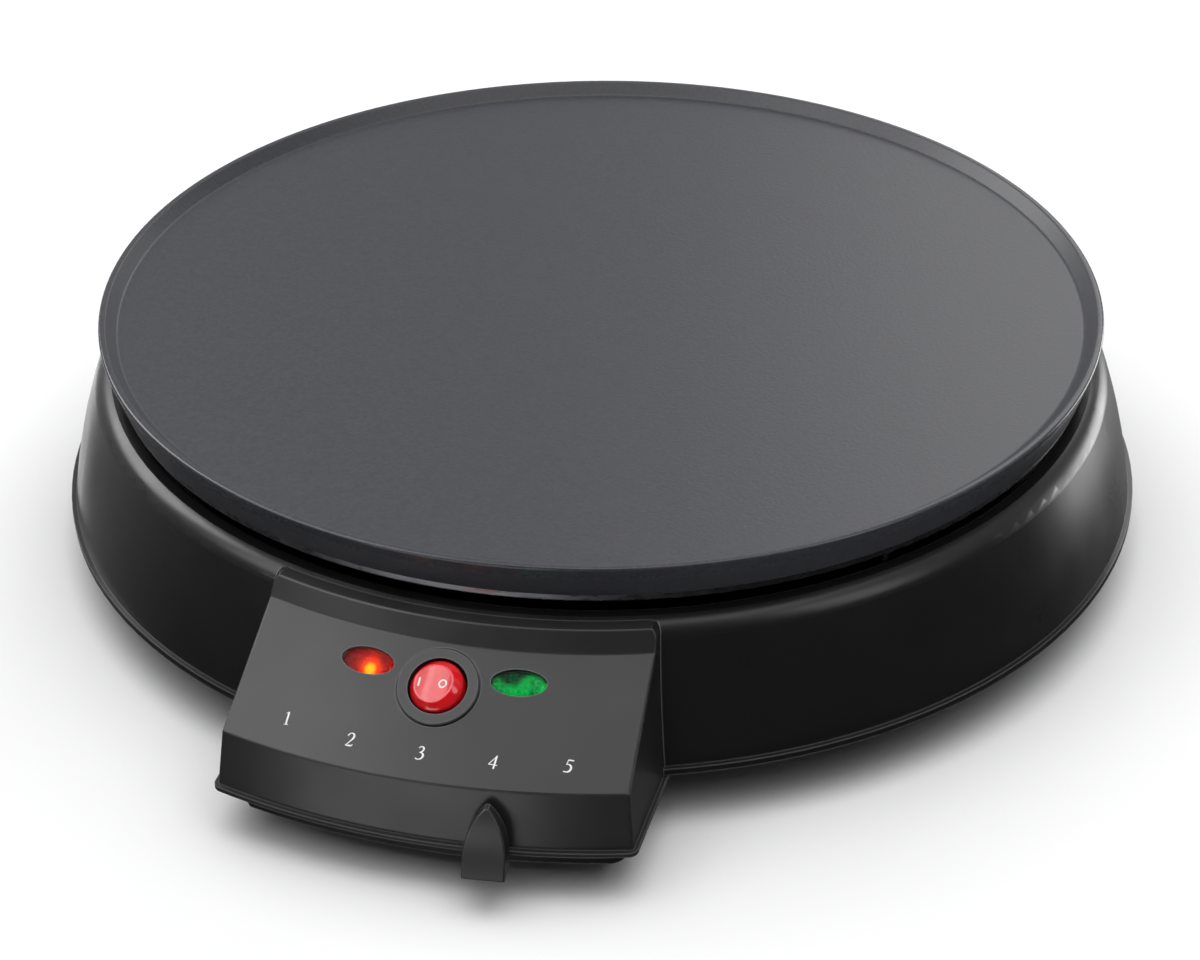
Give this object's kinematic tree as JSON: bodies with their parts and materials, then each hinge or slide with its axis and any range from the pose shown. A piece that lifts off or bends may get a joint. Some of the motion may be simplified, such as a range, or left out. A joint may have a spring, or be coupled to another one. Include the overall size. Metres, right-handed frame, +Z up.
{
  "type": "electric griddle",
  "caption": "Round electric crepe griddle: low-rimmed non-stick plate on a flared base, with a sloping control housing, rocker switch, pilot lamps and a radial temperature lever.",
  "frame": {"origin": "on the table plane under the middle of the bounding box, which runs from the lever knob's front to the cord gland's end; the plate's vertical axis is 19.23 mm behind it", "axes": "+Z up, -Y towards the controls, +X to the right of someone facing the controls"},
  "size_m": [0.3256, 0.3666, 0.074],
  "materials": {
    "nonstick_aluminium": "matte dark non-stick coating, finely pebbled",
    "element_sheath": "oxidised steel sheath",
    "ceramic": "unglazed white ceramic",
    "brass": "bright terminals",
    "sheet_steel": "plated pressed sheet",
    "zinc_steel": "bright zinc plate",
    "bright_sheet": "bright rolled sheet",
    "black_plastic": "satin charcoal-black moulding",
    "panel_plastic": "satin charcoal-black moulding with printed white scale",
    "switch_black": "satin dark grey bezel",
    "red_plastic": "glossy translucent red",
    "amber_plastic": "clear red-amber lens, faceted inside",
    "green_plastic": "clear green lens, faceted inside",
    "lamp_glass": "clear glass tube",
    "white_plastic": "heat-resistant off-white moulding",
    "foot_rubber": "matte black rubber",
    "brown_insulation": "brown silicone insulation",
    "blue_insulation": "blue silicone insulation",
    "red_insulation": "red silicone insulation"
  },
  "bodies": {
    "base": {"griddle_plate": "nonstick_aluminium", "heating_element": "element_sheath", "element_seals": "ceramic", "element_terminals": "brass", "element_clips": "sheet_steel", "clip_screws": "zinc_steel", "reflector_pan": "bright_sheet", "plate_studs": "zinc_steel", "upper_spacers": "zinc_steel", "lower_spacers": "zinc_steel", "spacer_washers": "zinc_steel", "stud_washers": "zinc_steel", "stud_nuts": "zinc_steel", "earth_tag": "brass", "thermostat_bracket": "sheet_steel", "thermostat_body": "ceramic", "thermostat_terminals": "brass", "thermal_fuse": "ceramic", "fuse_clip": "sheet_steel", "base_housing": "black_plastic", "control_housing": "panel_plastic", "bottom_cover": "black_plastic", "rubber_feet": "foot_rubber", "cover_screws": "zinc_steel", "switch_body": "switch_black", "switch_terminals": "brass", "amber_lens": "amber_plastic", "green_lens": "green_plastic", "neon_tubes": "lamp_glass", "lamp_holders": "white_plastic", "cord_gland": "black_plastic", "cord_clamp": "black_plastic", "terminal_block": "white_plastic", "terminal_screws": "brass", "live_wire": "brown_insulation", "neutral_wire": "blue_insulation", "load_wire": "red_insulation"},
    "lever": {"thermostat_spindle": "zinc_steel", "lever_arm": "sheet_steel", "lever_hub": "black_plastic", "spindle_clip": "zinc_steel", "lever_knob": "panel_plastic"},
    "rocker": {"switch_rocker": "red_plastic"}
  },
  "joints": [
    {"name": "lever_pivot", "type": "hinge", "parent": "base", "child": "lever", "pos_m": [0, 0.01923, 0.012], "axis": [0, 0, 1], "range_deg": [-18.3, 6.1]},
    {"name": "rocker_pivot", "type": "hinge", "parent": "base", "child": "rocker", "pos_m": [0, -0.14707, 0.04283], "axis": [0, 0.8645, 0.5026], "range_deg": [0, 18]}
  ]
}
